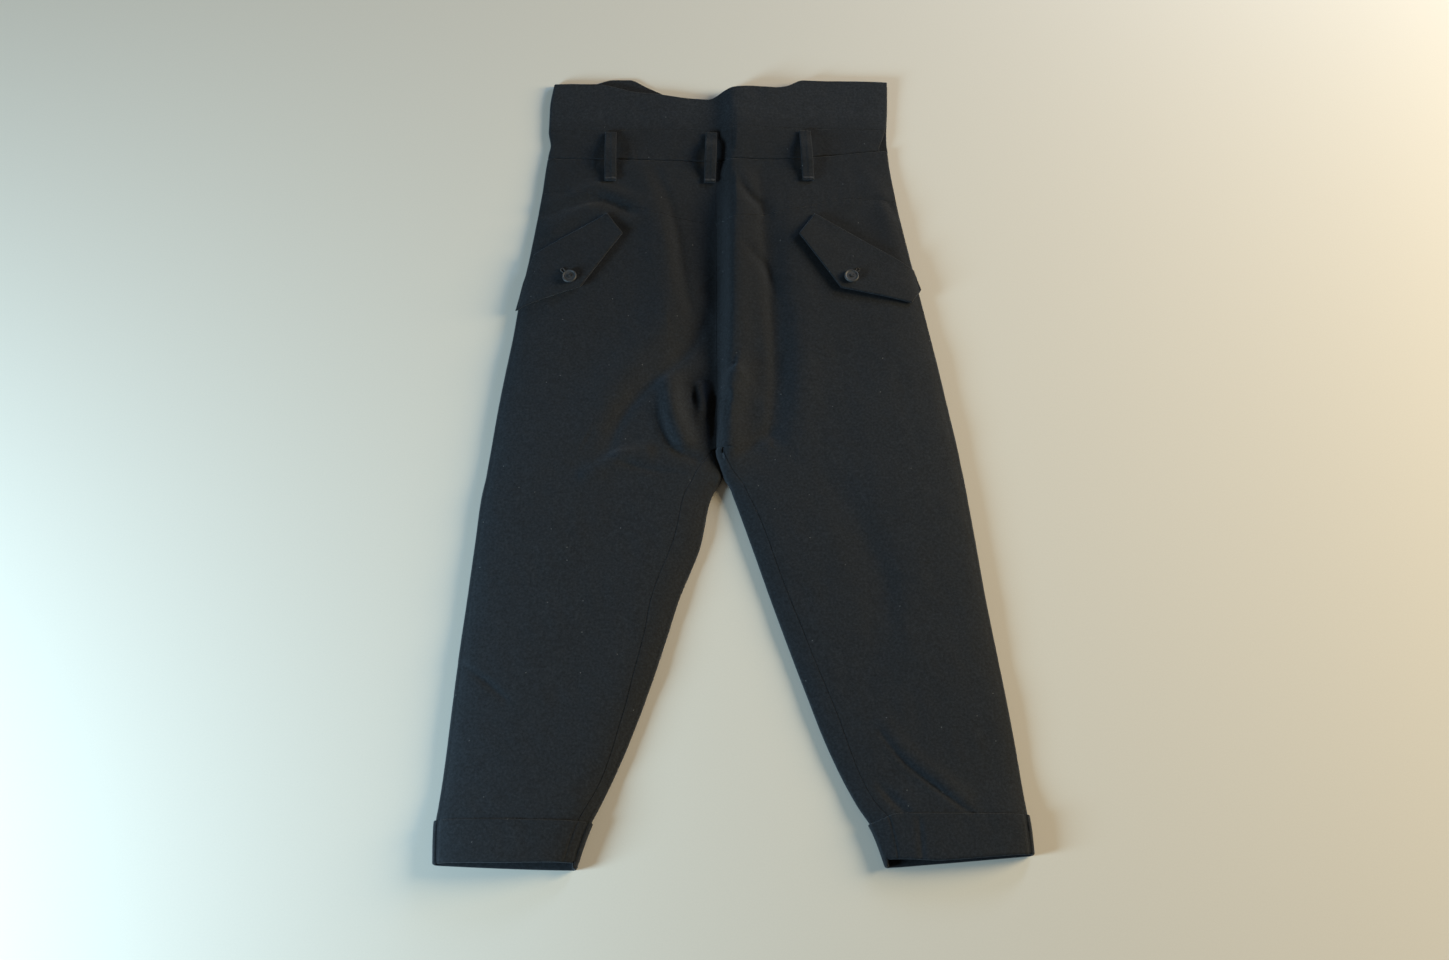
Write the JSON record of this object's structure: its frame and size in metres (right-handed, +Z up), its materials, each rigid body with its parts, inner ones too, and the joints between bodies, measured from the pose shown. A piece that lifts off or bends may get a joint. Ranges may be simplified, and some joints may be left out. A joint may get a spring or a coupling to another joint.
{
  "type": "high-waisted cropped breeches",
  "caption": "High-waisted cropped breeches of dark wool with a tall waistband, pointed pocket flaps and turned-up hems, laid flat with the back upwards.",
  "frame": {"origin": "middle of the garment's box, on the surface that it lies on", "axes": "+Z up from the surface, +Y from hem to waist, +X towards the wearer's right, with the back of the garment upwards"},
  "size_m": [0.5382, 0.8606, 0.0214],
  "materials": {
    "wool_cloth": "matte fulled wool twill, blue-black",
    "button": "dark horn-like satin"
  },
  "bodies": {
    "root": {"back_leg_left": "wool_cloth", "back_leg_right": "wool_cloth", "back_yoke_left": "wool_cloth", "back_yoke_right": "wool_cloth", "front_leg_left": "wool_cloth", "front_leg_right": "wool_cloth", "waistband_back": "wool_cloth", "waistband_front": "wool_cloth", "top_band_back": "wool_cloth", "top_band_front": "wool_cloth", "cuff_left": "wool_cloth", "cuff_right": "wool_cloth", "belt_loop_left": "wool_cloth", "belt_loop_centre": "wool_cloth", "belt_loop_right": "wool_cloth", "flap_left": "wool_cloth", "flap_right": "wool_cloth", "button_left": "button", "button_right": "button"}
  },
  "joints": []
}
